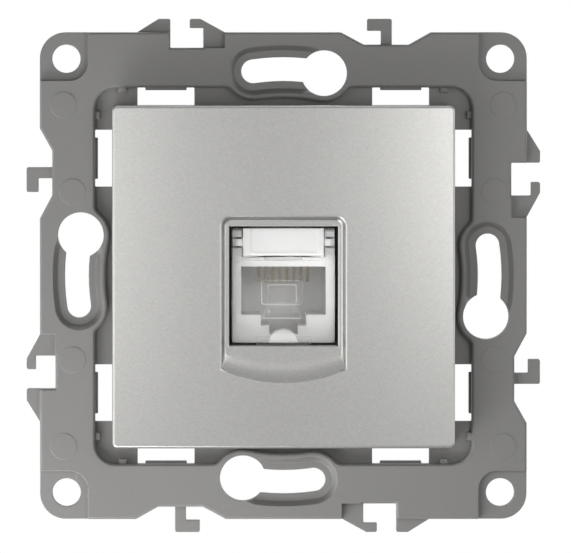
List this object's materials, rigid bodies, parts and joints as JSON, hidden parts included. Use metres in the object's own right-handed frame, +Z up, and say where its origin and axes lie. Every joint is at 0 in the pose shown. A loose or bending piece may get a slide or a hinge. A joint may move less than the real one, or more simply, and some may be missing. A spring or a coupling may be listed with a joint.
{
  "type": "ethernet wall socket",
  "caption": "Flush-mounted ethernet wall socket: grey support frame, silver centre plate and a keyed data jack behind a clear hinged dust flap.",
  "frame": {"origin": "middle of the support frame on the wall plane, the centre of its four corner screw holes", "axes": "+X to the right and +Z up as seen from the room, -Y out of the wall towards the room"},
  "size_m": [0.0746, 0.0326, 0.0746],
  "materials": {
    "frame_plastic": "fine satin moulded grey",
    "plate_paint": "silver metallic paint on plastic, satin",
    "holder_plastic": "moulded dark grey",
    "jack_plastic": "smooth moulded white",
    "flap_clear": "clear polished moulding",
    "carrier_plastic": "moulded black",
    "contact_gold": "gold plated spring bronze",
    "board_laminate": "green solder mask",
    "terminal_plastic": "moulded white",
    "terminal_metal": "tinned bronze",
    "cap_plastic": "moulded white"
  },
  "bodies": {
    "socket": {"support_frame": "frame_plastic", "cover_plate": "plate_paint", "jack_holder": "holder_plastic", "jack_body": "jack_plastic", "contact_carrier": "carrier_plastic", "contact_wire_1": "contact_gold", "contact_wire_2": "contact_gold", "contact_wire_3": "contact_gold", "contact_wire_4": "contact_gold", "contact_wire_5": "contact_gold", "contact_wire_6": "contact_gold", "contact_wire_7": "contact_gold", "contact_wire_8": "contact_gold", "circuit_board": "board_laminate", "idc_block": "terminal_plastic", "idc_contact_1": "terminal_metal", "idc_contact_2": "terminal_metal", "idc_contact_3": "terminal_metal", "idc_contact_4": "terminal_metal", "idc_contact_5": "terminal_metal", "idc_contact_6": "terminal_metal", "idc_contact_7": "terminal_metal", "idc_contact_8": "terminal_metal"},
    "flap": {"dust_flap": "flap_clear"},
    "left_cap": {"idc_cap_left": "cap_plastic"},
    "right_cap": {"idc_cap_right": "cap_plastic"}
  },
  "joints": [
    {"name": "flap_hinge", "type": "hinge", "parent": "socket", "child": "flap", "pos_m": [0, -0.006, 0.00496], "axis": [-1, 0, 0], "range_deg": [0, 100]},
    {"name": "left_cap_pull", "type": "slide", "parent": "socket", "child": "left_cap", "axis": [0, 1, 0], "range_m": [0, 0.006]},
    {"name": "right_cap_pull", "type": "slide", "parent": "socket", "child": "right_cap", "axis": [0, 1, 0], "range_m": [0, 0.006]}
  ]
}
